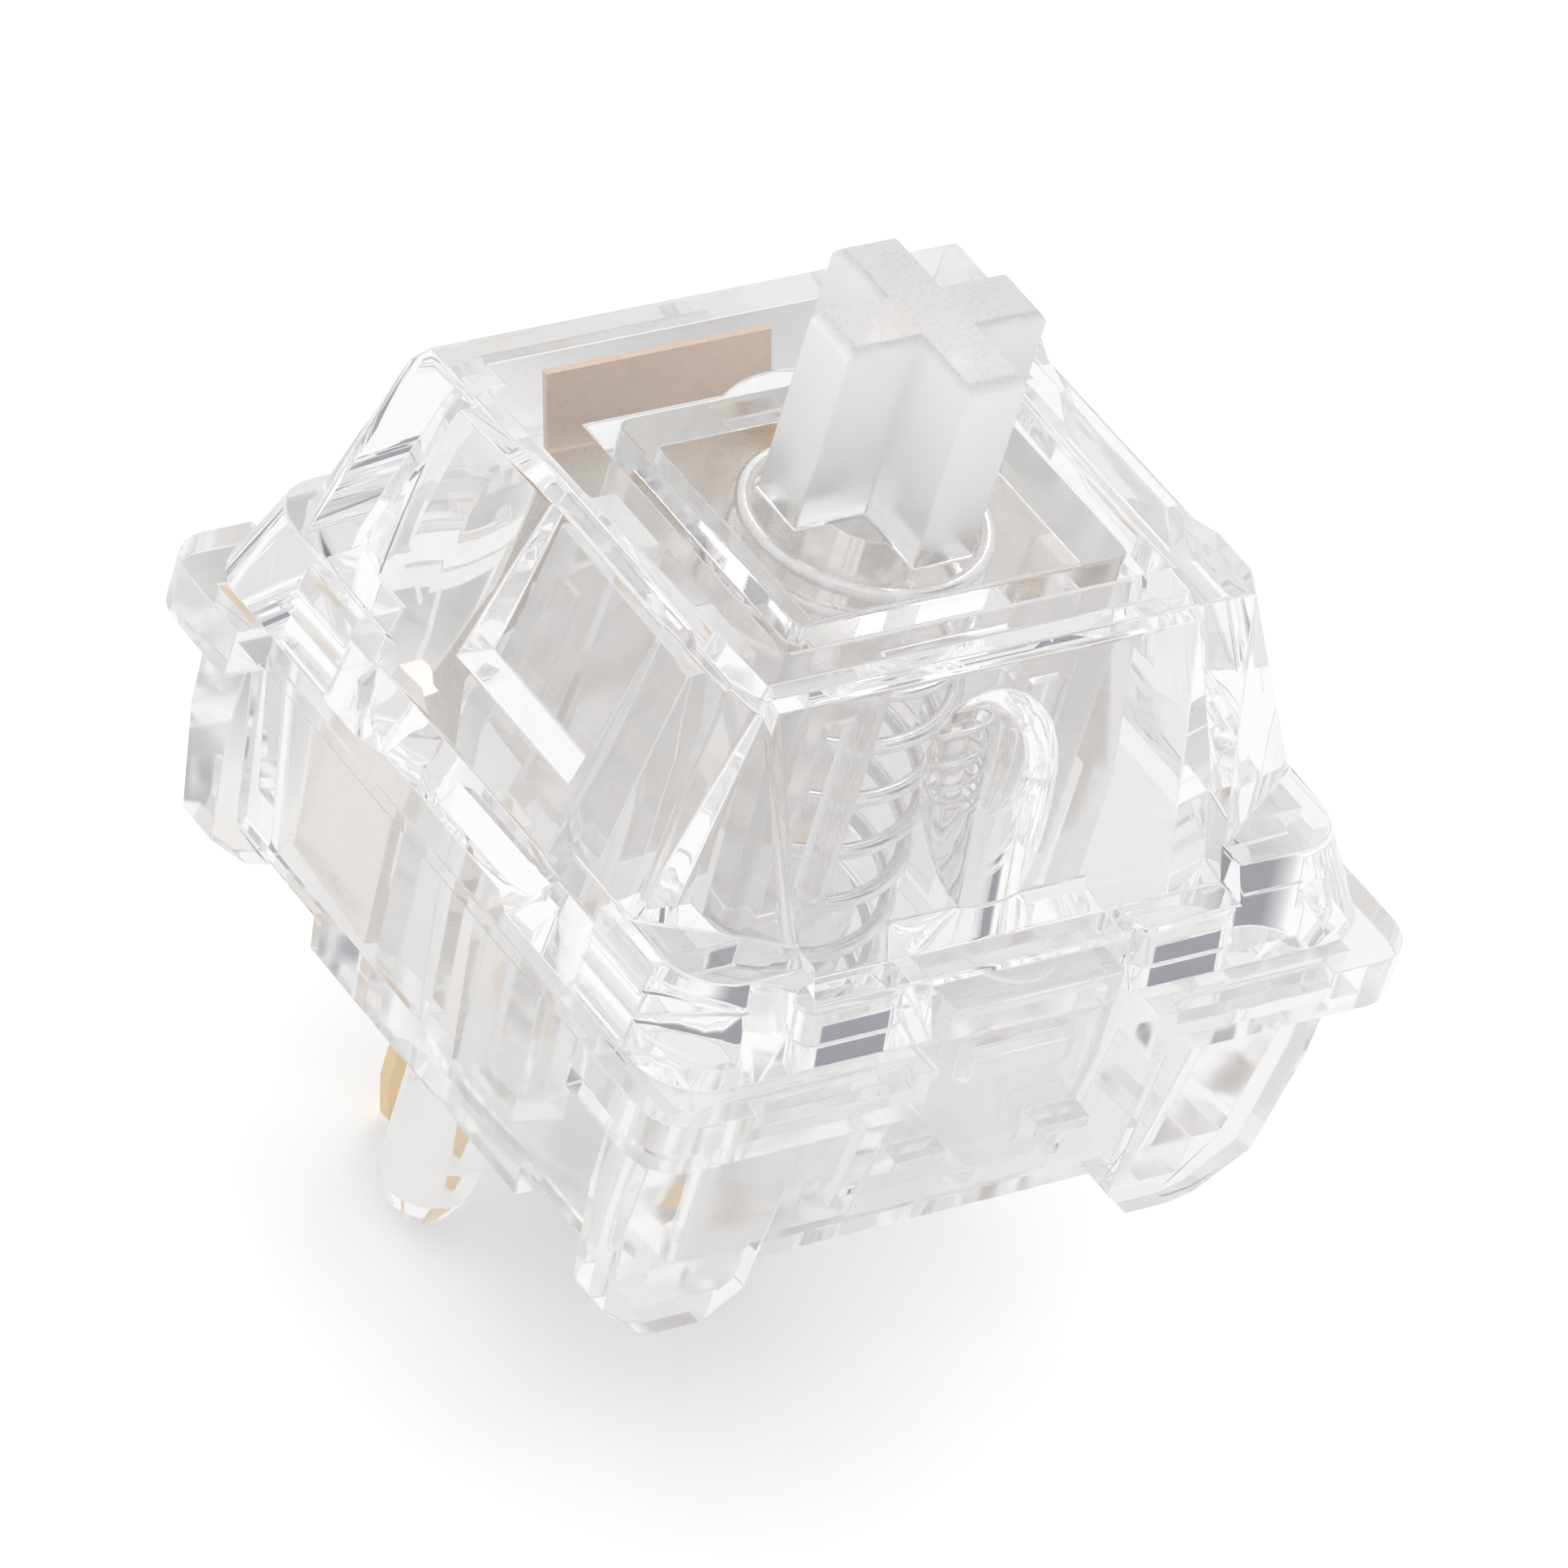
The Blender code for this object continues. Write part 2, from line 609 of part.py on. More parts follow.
def upper_cavity():
    tx = ROOF_X - 0.7
    top = [(0.4 - tx, ROOF_FRONT_Y + 0.74), (tx - 0.4, ROOF_FRONT_Y + 0.74), (tx, ROOF_BACK_Y - 0.76),
           (-tx, ROOF_BACK_Y - 0.76)]
    x = CAP_X - CAP_WALL
    y = FLANGE_Y - 0.65 - CAP_WALL
    half = [(PANEL_X - 0.65, 0.4 - y), (x - 0.05, 2.0 - y), (x, y - 1.4), (x - 0.6, y)]
    low = half + [(-px, py) for px, py in half]
    return hull([(px, py, CEILING_Z) for px, py in top] + [(px, py, SKIRT_Z - 0.14) for px, py in low])


def leaf_room():
    """Room for the leaf, cut into the back wall."""
    w = LEAF_ROOM_WIDTH / 2.0
    low = SKIRT_Z - 0.14
    front = ROOF_BACK_Y - 1.6
    foot = FLANGE_Y - CAP_BACK_INSET - BACK_WALL
    head = ROOF_BACK_Y + 0.39 - BACK_WALL
    side = [(front, low), (foot, low), (foot, PANEL_LOW_Z), (head, CEILING_Z), (front, CEILING_Z)]
    return prism_x(side, -w, w)


def make_upper_housing():
    ob = outer_shape()
    cut(ob, side_pocket(-1), side_pocket(1), upper_cavity(), leaf_room())
    cut_opening(ob)
    cut_catch_slots(ob)
    cut_light_window(ob)
    return ob


def cut_opening(ob):
    """Stem opening: bevelled on three sides, with a round notch in the fourth."""
    tx = SHOULDER_X + RUN_GAP
    ty = SHOULDER_Y + RUN_GAP
    rx = tx + RIM_BEVEL[0]
    ry = ty + RIM_BEVEL[1]
    low = ROOF_Z - RIM_DEPTH
    throat = [(-tx, -ty, low), (tx, -ty, low), (tx, ty, low), (-tx, ty, low)]
    top = ROOF_Z + 0.01
    rim = [(-rx, -ry, top), (rx, -ry, top), (rx, ty, top), (-rx, ty, top)]
    cut(ob, loft(throat, rim))
    cut(ob, box(-tx, tx, -ty, ty, CEILING_Z - 0.5, low + 0.2))
    low = CEILING_Z - 0.1
    notch = [(0.0, low), (NOTCH_RADIUS - 0.3, low), (NOTCH_RADIUS, top), (0.0, top)]
    cut(ob, turned(notch, 0.0, ty + NOTCH_DEPTH - NOTCH_RADIUS))


def cut_catch_slots(ob):
    """Slots for the lower housing's latch posts and their nubs."""
    inner = BODY_X - LATCH_INSET - 0.75
    outer = BODY_X - LATCH_INSET + LATCH_WIDTH + 0.07
    nub = outer + LATCH_REACH + 0.03
    top = SKIRT_Z + LATCH_HEIGHT + 0.06
    for sx, sy in SIGNS:
        y0, y1 = span(LATCH_Y - 0.1, LATCH_Y + LATCH_LENGTH + 0.1, sy)
        x0, x1 = span(inner, outer, sx)
        cut(ob, box(x0, x1, y0, y1, SKIRT_Z - 0.14, top))
        x0, x1 = span(inner, nub, sx)
        cut(ob, box(x0, x1, y0, y1, top - 0.68, top))


def cut_light_window(ob):
    """Domed light pocket behind the front panel, and the openings under its lower edge."""
    low = SKIRT_Z - 0.14
    dome = [(0.0, DOME_TOP)]
    for i in range(1, 7):
        a = math.radians(90.0 - 15.0 * i)
        dome.append((DOME_RADIUS * math.cos(a), DOME_TOP - DOME_RADIUS * (1.0 - math.sin(a))))
    dome += [(DOME_RADIUS, low), (0.0, low)]
    cut(ob, turned(dome, 0.0, DOME_Y, 32))
    w = SHELF_WIDTH / 2.0 + 0.25
    top = max(PANEL_LOW_Z - 0.15, SHELF_HEIGHT + 0.2)
    cut(ob, box(-w, w, -FLANGE_Y - 0.2, ROOF_FRONT_Y - 0.46, low, top))
    for s in (-1, 1):
        x0, x1 = span(w + 0.3, w + 2.5, s)
        cut(ob, prism_z(round_rect(x0, x1, 1.2 - FLANGE_Y, 2.1 - FLANGE_Y, 0.44, 5), low, SKIRT_Z + 0.66))


# Stem
def cross_bar(hx, hy, z0):
    """One bar of the cross, its four top edges taken off."""
    b = CROSS_BEVEL
    flat = [(-hx, -hy), (hx, -hy), (hx, hy), (-hx, hy)]
    ox = b if hx > hy else CROSS_EDGE
    oy = b if hy > hx else CROSS_EDGE
    inner = [(-hx + ox, -hy + oy), (hx - ox, -hy + oy), (hx - ox, hy - oy), (-hx + ox, hy - oy)]
    low = STEM_HEIGHT - b
    body = loft([(x, y, z0) for x, y in flat], [(x, y, low) for x, y in flat])
    points = [(x, y, z) for x, y in flat for z in (low - 0.02, low)]
    join(body, hull(points + [(x, y, STEM_HEIGHT) for x, y in inner]))
    return body


def stem_skirt():
    """Square sleeve round the spring, with the cut-outs in its front and back walls."""
    hx = SHOULDER_X
    hy = SHOULDER_Y
    ix = hx - STEM_WALL[0]
    iy = hy - STEM_WALL[1]
    z1 = SHOULDER_Z - SHOULDER_THICKNESS + 0.2
    low = SKIRT_LOW_Z - 1.2
    ob = prism_z(round_rect(-hx, hx, -hy, hy, CORNER_RADIUS, 3), SKIRT_LOW_Z, z1)
    cut(ob, box(-ix, ix, -iy, iy, low, z1 - 0.2))
    front = (-hy - 0.5, -iy + 0.5)
    back = (iy - 0.5, hy + 0.5)
    w = FRONT_SLOT_WIDTH / 2.0
    cut(ob, box(-w, w, front[0], front[1], low, SKIRT_LOW_Z + FRONT_SLOT_HEIGHT))
    w = BACK_SLOT_WIDTH / 2.0
    cut(ob, box(-w, w, back[0], back[1], low, SKIRT_LOW_Z + BACK_SLOT_HEIGHT))
    for s in (-1, 1):
        x0, x1 = span(1.75, 2.4, s)
        cut(ob, box(x0, x1, front[0], front[1], low, SKIRT_LOW_Z + 4.0))
        x0, x1 = span(2.05, 3.0, s)
        cut(ob, box(x0, x1, back[0], back[1], low, SKIRT_LOW_Z + 3.2))
    return ob


def make_stem():
    ob = stem_skirt()
    hx = SHOULDER_X
    hy = SHOULDER_Y
    outline = round_rect(-hx, hx, -hy, hy, CORNER_RADIUS, 3)
    join(ob, prism_z(outline, SHOULDER_Z - SHOULDER_THICKNESS, SHOULDER_Z))
    tip = 0.3
    r = POLE_RADIUS
    join(ob, turned([(0.0, POLE_LOW_Z), (r - tip, POLE_LOW_Z), (r, POLE_LOW_Z + tip), (r, SHOULDER_Z - 0.3),
                     (0.0, SHOULDER_Z - 0.3)], steps=32))
    for s in (-1, 1):
        x0, x1 = span(hx - 0.2, RAIL_X, s)
        w = RAIL_WIDTH / 2.0
        join(ob, box(x0, x1, -w, w, SKIRT_LOW_Z + 0.02, SHOULDER_Z - RAIL_DROP))
    low = SKIRT_LOW_Z + 0.05
    cam = [(hy - 0.2, low), (CAM_Y, low), (CAM_Y, low + 1.25), (hy + 0.13, low + 2.45),
           (hy - 0.2, low + 2.5)]
    join(ob, prism_x(cam, CAM_X[0], CAM_X[1]))
    arm = CROSS_WIDTH / 2.0
    bars = cross_bar(arm, CROSS_X_THICKNESS / 2.0, SHOULDER_Z - 0.2)
    join(bars, cross_bar(CROSS_Y_THICKNESS / 2.0, arm, SHOULDER_Z - 0.25))
    join(ob, bars)
    return ob


# Return spring
def make_spring():
    """Round wire coil with a closed turn at each end."""
    seg = 28
    ring = 7
    z0 = FLOOR_Z - SEAT_GROOVE + WIRE_RADIUS + 0.02
    z1 = SHOULDER_Z - SHOULDER_THICKNESS - WIRE_RADIUS - 0.02
    total = int(SPRING_TURNS * seg)
    closed = 1.1
    pitch0 = 2.0 * WIRE_RADIUS + 0.03
    verts = []
    for i in range(total + 1):
        t = i / seg
        open_turns = SPRING_TURNS - 2.0 * closed
        rise = (z1 - z0) - 2.0 * closed * pitch0
        if t < closed:
            z = z0 + pitch0 * t
        elif t > SPRING_TURNS - closed:
            z = z1 - pitch0 * (SPRING_TURNS - t)
        else:
            z = z0 + pitch0 * closed + rise * (t - closed) / open_turns
        a = 2.0 * math.pi * t
        for k in range(ring):
            b = 2.0 * math.pi * k / ring
            r = COIL_RADIUS + WIRE_RADIUS * math.cos(b)
            verts.append((r * math.cos(a), r * math.sin(a), z + WIRE_RADIUS * math.sin(b)))
    faces = []
    for i in range(total):
        for k in range(ring):
            m = (k + 1) % ring
            faces.append((i * ring + k, i * ring + m, (i + 1) * ring + m, (i + 1) * ring + k))
    faces.append(tuple(range(ring)))
    faces.append(tuple(range(total * ring, (total + 1) * ring)))
    return solid(verts, faces)


# Contacts
def flat_pin(x, y):
    """Solder pin with a tapered tip."""
    w = PIN_WIDTH / 2.0
    top = FLOOR_Z + 0.5
    side = [(x - w, top), (x - w, PIN_TIP_Z + 0.9), (x - 0.2, PIN_TIP_Z), (x + 0.2, PIN_TIP_Z),
            (x + w, PIN_TIP_Z + 0.9), (x + w, top)]
    return prism_y(side, y - SHEET_THICKNESS / 2.0, y + SHEET_THICKNESS / 2.0)


def make_moving_terminal():
    """Pin, foot and the side plate that holds the leaf's root."""
    x, y = PIN_A
    ob = flat_pin(x, y)
    t = SHEET_THICKNESS
    h = t / 2.0
    side_x = CAM_X[0] - 3.0
    back = LEAF_Y + 0.48
    foot = FLOOR_Z + 0.15
    join(ob, box(side_x, x + PIN_WIDTH / 2.0, y - h, y + h, foot, FLOOR_Z + 1.4))
    side = [(y - h, foot + 0.01), (back, foot + 0.25), (back, -0.3), (back - 0.55, 0.5), (3.2, 0.5),
            (y - h, -0.5)]
    join(ob, prism_x(side, side_x, side_x + t))
    join(ob, box(side_x + 0.01, -3.3, back - t, back, foot + 0.35, LEAF_ROOT_Z + 1.5))
    # Corner cut back where the pressed stem comes down
    cut(ob, box(-SHOULDER_X - RUN_GAP, 0.0, y - 1.0, y + 1.0, FLOOR_Z + 0.02, 0.0))
    return ob


def make_fixed_terminal():
    """Pin, foot and the upright plate that carries the fixed contact."""
    x, y = PIN_B
    ob = flat_pin(x, y)
    t = SHEET_THICKNESS
    h = t / 2.0
    foot = FLOOR_Z + 0.15
    far = x + 0.86
    join(ob, box(x - PIN_WIDTH / 2.0, far, y - h, y + h, foot, FLOOR_Z + 1.6))
    join(ob, box(far - t, far, FIXED_Y - t, y + h, foot + 0.01, FLOOR_Z + 1.3))
    px, pz = POINT_XZ
    foot += 0.02
    face = [(px - 0.85, -1.6), (px + 0.5, foot), (far - 0.01, foot), (far - 0.01, -0.4), (px + 0.9, 0.4),
            (px + 0.9, pz + 0.6), (px + 0.5, pz + 0.9), (px - 0.5, pz + 0.9), (px - 0.85, pz + 0.6)]
    join(ob, prism_y(face, FIXED_Y - t, FIXED_Y))
    return ob


def make_leaf():
    """Sprung sheet with a flared lip, and a pressed ridge where the stem's cam meets it."""
    y0 = LEAF_Y
    y1 = LEAF_Y + LEAF_THICKNESS
    root = LEAF_ROOT_Z
    top = LEAF_HEIGHT
    px, pz = POINT_XZ
    left = LIP_X[0] - 0.1
    face = [(-4.55, root), (-3.35, root), (-3.2, 0.2), (-2.4, 0.8), (-0.3, 0.8), (px - 1.5, pz - 1.2),
            (px + 0.6, pz - 0.7), (px + 0.6, top), (left, top), (left, 1.5), (-4.5, -0.3)]
    ob = prism_y(face, y0, y1)
    lip = [(y0 + 0.02, top - 0.1), (y1 - 0.02, top - 0.1), (y1 + LIP_REACH, top + LIP_RISE),
           (y0 + LIP_REACH, top + LIP_RISE)]
    join(ob, prism_x(lip, LIP_X[0], LIP_X[1]))
    z = BUMP_HEIGHT
    ridge = [(y0 + 0.05, z - 0.6), (BUMP_Y, z - 0.1), (BUMP_Y, z + 0.1), (y0 + 0.05, z + 0.6)]
    join(ob, prism_x(ridge, CAM_X[0] - 0.1, CAM_X[1] + 0.1))
    deep = BUMP_Y + 0.2
    hollow = [(y1 + 0.1, z - 0.5), (deep, z - 0.05), (deep, z + 0.05), (y1 + 0.1, z + 0.5)]
    cut(ob, prism_x(hollow, CAM_X[0] - 0.4, CAM_X[1] + 0.4))
    return ob


def contact_point(y_face, y_tip):
    """Low round rivet head along Y."""
    x, z = POINT_XZ
    n = 24
    s = 1.0 if y_tip > y_face else -1.0
    rings = ((POINT_RADIUS, y_face), (POINT_RADIUS, y_tip - 0.08 * s), (POINT_RADIUS - 0.12, y_tip))
    verts = []
    for r, y in rings:
        for i in range(n):
            a = 2.0 * math.pi * i / n
            verts.append((x + r * math.cos(a), y, z + r * math.sin(a)))
    faces = [tuple(range(n)), tuple(range(2 * n, 3 * n))]
    for k in range(2):
        for i in range(n):
            j = (i + 1) % n
            faces.append((k * n + i, k * n + j, (k + 1) * n + j, (k + 1) * n + i))
    return solid(verts, faces)


def build():
    clear = material("clear_plastic", (0.86, 0.86, 0.85), 0.04, 0.0, 0.35)
    clear_top = material("clear_plastic_top", (0.88, 0.88, 0.88), 0.03, 0.0, 0.35)
    frosted = material("frosted_plastic", (0.86, 0.85, 0.83), 0.25, 0.0, 0.75)
    steel = material("spring_steel", (0.62, 0.62, 0.63), 0.22, 1.0)
    brass = material("plated_brass", (0.78, 0.57, 0.33), 0.28, 1.0)
    bronze = material("leaf_bronze", (0.76, 0.53, 0.32), 0.3, 1.0)
    gold = material("contact_gold", (0.93, 0.70, 0.30), 0.2, 1.0)
    finish(make_lower_housing(), "housing_lower", clear)
    finish(make_upper_housing(), "housing_upper", clear_top)
    finish(make_stem(), "stem", frosted, (0.0, 0.0, SHOULDER_Z))
    finish(make_spring(), "return_spring", steel, sharp=60.0)
    finish(make_moving_terminal(), "terminal_moving", brass)
    finish(make_fixed_terminal(), "terminal_fixed", brass)
    finish(make_leaf(), "contact_leaf", bronze, (0.0, LEAF_Y + LEAF_THICKNESS / 2.0, LEAF_ROOT_Z))
    tip = FIXED_Y + 0.01
    finish(contact_point(tip, LEAF_Y - POINT_RISE - POINT_GAP), "contact_fixed", gold)
    leaf_tip = LEAF_Y - 0.01
    finish(contact_point(leaf_tip, LEAF_Y - POINT_RISE), "contact_moving", gold,
           (0.0, LEAF_Y + LEAF_THICKNESS / 2.0, LEAF_ROOT_Z))


build()
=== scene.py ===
"""Clear key switch on a pale floor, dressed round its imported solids."""
import math

import bmesh
import bpy
from mathutils import Matrix, Vector

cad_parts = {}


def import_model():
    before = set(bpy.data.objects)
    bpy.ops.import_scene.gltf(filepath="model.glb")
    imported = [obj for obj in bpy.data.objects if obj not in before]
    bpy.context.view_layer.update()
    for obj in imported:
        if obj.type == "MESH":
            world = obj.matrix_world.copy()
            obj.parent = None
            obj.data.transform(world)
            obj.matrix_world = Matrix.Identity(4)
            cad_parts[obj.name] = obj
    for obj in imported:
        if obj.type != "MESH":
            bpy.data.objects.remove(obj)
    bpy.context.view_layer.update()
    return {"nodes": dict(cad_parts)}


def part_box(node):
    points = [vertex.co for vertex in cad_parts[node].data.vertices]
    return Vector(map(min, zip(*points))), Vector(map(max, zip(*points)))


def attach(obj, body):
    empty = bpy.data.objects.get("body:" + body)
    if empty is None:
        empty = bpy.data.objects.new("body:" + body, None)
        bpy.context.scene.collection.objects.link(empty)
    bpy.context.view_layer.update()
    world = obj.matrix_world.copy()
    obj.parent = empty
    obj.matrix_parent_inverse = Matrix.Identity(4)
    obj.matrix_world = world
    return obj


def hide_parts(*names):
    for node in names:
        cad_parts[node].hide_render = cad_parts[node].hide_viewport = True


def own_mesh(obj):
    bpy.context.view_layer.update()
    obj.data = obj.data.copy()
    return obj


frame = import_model()
nodes = frame["nodes"]

# Floor: height, half width, own tone, and how much brighter the camera sees it
FLOOR_Z = -0.0083
FLOOR_HALF = 1.5
FLOOR_TONE = 0.93
FLOOR_LIFT = 0.28

# The floor as clear and shiny surfaces see it: tone, own light, and soft spots of painted shadow near the
# object (centre, radius, factor)
SHEET_TONE = 0.31
SHEET_GLOW = 0.62
PAINTED_SHADOW_SPOTS = (((0.0135, 0.0205, FLOOR_Z), 0.007, 0.40),
               ((0.0015, 0.0155, FLOOR_Z), 0.004, 0.55))

# Studio: strength, and grey patches (direction, cosines where each starts and is full, tone)
STUDIO_STRENGTH = 1.0
STUDIO_PATCHES = (((-0.60, -0.62, 0.50), 0.96, 1.0, (0.62, 0.63, 0.67)),
                  ((0.57, -0.60, 0.57), 0.915, 0.98, (0.24, 0.24, 0.28)))

# Key lamp: place, side length, power in watts, and the pieces that it lights beside the floor
KEY_AT = (0.10, 0.12, 0.22)
KEY_SIDE = 0.12
KEY_POWER = 0.10
KEY_LIT = ("key_stem", "left_terminal", "right_terminal", "leaf_sheet", "spring_coil")

# Camera of the photograph: place, axes and focal length for a 36 mm wide sensor
CAMERA_AT = Vector((-0.12327, -0.12395, 0.13027))
CAMERA_RIGHT = Vector((0.8040, -0.5409, 0.2471))
CAMERA_UP = Vector((0.1824, 0.6198, 0.7633))
CAMERA_LENS = 301.2
SENSOR_WIDTH = 36.0

# Return spring: radius of the coil and of the wire, turns, and the gap between its closed turns
COIL_RADIUS = 0.00205
WIRE_RADIUS = 0.00014
SPRING_TURNS = 10.0
CLOSED_TURNS = 1.1
CLOSED_GAP = 0.00003

# Heights between which one finish turns into another: stem's skirt, cross and its top; pin; leaf
SKIRT_END = (0.0045, 0.0052)
CROSS_START = (0.0064, 0.0070)
FROST_START = (0.0064, 0.0078)
TOP_START = (0.0100, 0.01015)
PIN_END = (-0.0052, -0.0042)
LIP_START = (0.0034, 0.0044)

# Rounded edges: least angle in degrees. Cosines: one flat above the first, a crease below the second
SHARP_ANGLE = 24.0
FLAT_DOT = 0.99999
CREASE_DOT = 0.6

# Refractive index of the plastics
PLASTIC_IOR = 1.5

# Bounces of a ray, and the painted glow of the plastic where a ray is still inside it after them, in place of
# the light it would still gather
BOUNCES = 16
DIFFUSE_BOUNCES = 3
LAST_BOUNCE_GLOW = 0.75


# Node helpers
def new_material(name):
    mat = bpy.data.materials.new(name)
    mat.use_nodes = True
    tree = mat.node_tree
    return mat, tree, tree.nodes["Principled BSDF"]


def put(tree, value, socket):
    """Link an output to a socket, or set the socket to a number or a colour."""
    if isinstance(value, bpy.types.NodeSocket):
        tree.links.new(value, socket)
    elif isinstance(value, tuple):
        socket.default_value = (*value, 1.0)
    else:
        socket.default_value = value


def calc(tree, operation, *values):
    """Math node on outputs or numbers."""
    node = tree.nodes.new("ShaderNodeMath")
    node.operation = operation
    for value, socket in zip(values, node.inputs):
        put(tree, value, socket)
    return node.outputs["Value"]


def blend(tree, factor, one, two, kind="MIX"):
    """Mix of two colours."""
    node = tree.nodes.new("ShaderNodeMix")
    node.data_type = "RGBA"
    node.blend_type = kind
    put(tree, factor, node.inputs["Factor"])
    put(tree, one, node.inputs["A"])
    put(tree, two, node.inputs["B"])
    return node.outputs["Result"]


def noise(tree, scale, detail):
    """Noise texture in object space."""
    coords = tree.nodes.new("ShaderNodeTexCoord")
    tex = tree.nodes.new("ShaderNodeTexNoise")
    tex.inputs["Scale"].default_value = scale
    tex.inputs["Detail"].default_value = detail
    tree.links.new(coords.outputs["Object"], tex.inputs["Vector"])
    return tex.outputs["Fac"]


def spread(tree, value, low, high, start=0.3, end=0.7):
    """Map a value from start..end to low..high; most of a noise texture lies in the span given by default."""
    span = tree.nodes.new("ShaderNodeMapRange")
    span.inputs["From Min"].default_value = start
    span.inputs["From Max"].default_value = end
    span.inputs["To Min"].default_value = low
    span.inputs["To Max"].default_value = high
    tree.links.new(value, span.inputs["Value"])
    return span.outputs["Result"]


def bump(tree, value, strength, distance):
    node = tree.nodes.new("ShaderNodeBump")
    put(tree, strength, node.inputs["Strength"])
    node.inputs["Distance"].default_value = distance
    tree.links.new(value, node.inputs["Height"])
    return node.outputs["Normal"]


def height(tree):
    """Object-space Z."""
    coords = tree.nodes.new("ShaderNodeTexCoord")
    split = tree.nodes.new("ShaderNodeSeparateXYZ")
    tree.links.new(coords.outputs["Object"], split.inputs["Vector"])
    return split.outputs["Z"]


# Materials
def plastic(name, milk):
    """Clear plastic whose outside is milky: by a plain share, or by what a function adds to the tree."""
    mat, tree, shader = new_material(name)
    shader.inputs["IOR"].default_value = PLASTIC_IOR
    share = milk(tree) if callable(milk) else milk
    outside = calc(tree, "SUBTRACT", 1.0, tree.nodes.new("ShaderNodeNewGeometry").outputs["Backfacing"])
    clear = calc(tree, "SUBTRACT", 1.0, calc(tree, "MULTIPLY", outside, share))
    tree.links.new(clear, shader.inputs["Transmission Weight"])
    # Painted glow: rays caught inside up to the last bounce end with a glow of the plastic, in place of the
    # light they would still gather
    depth = tree.nodes.new("ShaderNodeLightPath").outputs["Ray Depth"]
    last = calc(tree, "GREATER_THAN", depth, BOUNCES + 0.5)
    tree.links.new(calc(tree, "MULTIPLY", last, LAST_BOUNCE_GLOW), shader.inputs["Emission Strength"])
    mat.cycles.emission_sampling = "NONE"
    return mat, tree, shader


def clear_plastic(name, tint, low, high, ripple, haze):
    """Moulded see-through plastic with a slight ripple and a trace of haze on its outside."""
    mat, tree, shader = plastic(name, haze)
    shader.inputs["Base Color"].default_value = (*tint, 1.0)
    tree.links.new(spread(tree, noise(tree, 900.0, 0.0), low, high), shader.inputs["Roughness"])
    tree.links.new(bump(tree, noise(tree, 260.0, 1.0), ripple, 0.0001), shader.inputs["Normal"])
    return mat


def frost(tree):
    """Milkiness of the stem: none below the cross, less on its top."""
    z = height(tree)
    sides = spread(tree, z, 0.0, 0.84, *FROST_START)
    return calc(tree, "MULTIPLY", sides, spread(tree, z, 1.0, 0.55, *TOP_START))


def stem_plastic():
    """One moulding: satin skirt, polished shoulder, frosted cross with a grain on its top."""
    mat, tree, shader = plastic("stem_plastic", frost)
    z = height(tree)
    grain = noise(tree, 18000.0, 1.0)
    top = spread(tree, z, 0.0, 1.0, *TOP_START)
    pits = calc(tree, "MULTIPLY", top, spread(tree, grain, 1.0, 0.0, 0.3, 0.55))
    tree.links.new(blend(tree, pits, (0.99, 0.98, 0.97), (0.89, 0.87, 0.86)), shader.inputs["Base Color"])
    cross = spread(tree, z, 0.0, 0.30, *CROSS_START)
    skirt = spread(tree, z, 0.16, 0.02, *SKIRT_END)
    tree.links.new(calc(tree, "ADD", cross, skirt), shader.inputs["Roughness"])
    relief = spread(tree, z, 0.05, 0.5, *TOP_START)
    tree.links.new(bump(tree, grain, relief, 0.00002), shader.inputs["Normal"])
    return mat


def metal(name, rgb, low, high, scale, grain):
    mat, tree, shader = new_material(name)
    shader.inputs["Base Color"].default_value = (*rgb, 1.0)
    shader.inputs["Metallic"].default_value = 1.0
    tex = noise(tree, scale, 4.0)
    tree.links.new(spread(tree, tex, low, high), shader.inputs["Roughness"])
    tree.links.new(bump(tree, tex, grain, 0.00002), shader.inputs["Normal"])
    return mat


def two_tone(name, below, above, start, end):
    """Thin sheet metal that turns from one tone to another between two heights."""
    mat = metal(name, below, 0.24, 0.30, 3000.0, 0.02)
    tree = mat.node_tree
    tone = blend(tree, spread(tree, height(tree), 0.0, 1.0, start, end), below, above)
    tree.links.new(tone, tree.nodes["Principled BSDF"].inputs["Base Color"])
    return mat


CLEAR_LOWER = clear_plastic("clear_lower", (0.992, 0.986, 0.981), 0.05, 0.09, 0.03, 0.15)
CLEAR_UPPER = clear_plastic("clear_upper", (0.993, 0.989, 0.991), 0.0, 0.02, 0.02, 0.11)
FROSTED = stem_plastic()
WIRE = metal("spring_wire", (0.87, 0.87, 0.88), 0.2, 0.32, 4000.0, 0.1)
BRASS = two_tone("terminal", (0.86, 0.66, 0.42), (0.93, 0.89, 0.85), *PIN_END)
LEAF = two_tone("leaf", (0.88, 0.82, 0.76), (0.64, 0.46, 0.34), *LIP_START)
GOLD = metal("contact", (0.93, 0.72, 0.36), 0.12, 0.22, 5000.0, 0.05)

# Piece, material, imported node, body, slot and width of the rounded edges
PIECES = (("lower_housing", CLEAR_LOWER, "housing_lower", "case", "clear_lower", 0.00003),
          ("upper_housing", CLEAR_UPPER, "housing_upper", "case", "clear_upper", 0.00005),
          ("key_stem", FROSTED, "stem", "plunger", "frosted", 0.00005),
          ("left_terminal", BRASS, "terminal_moving", "case", "terminal", 0.00002),
          ("right_terminal", BRASS, "terminal_fixed", "case", "terminal", 0.00002),
          ("leaf_sheet", LEAF, "contact_leaf", "leaf", "leaf", 0.00001),
          ("fixed_point", GOLD, "contact_fixed", "case", "contact", 0.00002),
          ("leaf_point", GOLD, "contact_moving", "leaf", "contact", 0.00002))


# Pieces
def add_piece(name, mesh, mat, node, body):
    """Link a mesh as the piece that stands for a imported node."""
    mesh.materials.clear()
    mesh.materials.append(mat)
    ob = bpy.data.objects.new(name, mesh)
    bpy.context.scene.collection.objects.link(ob)
    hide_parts(node)
    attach(ob, body)
    return ob


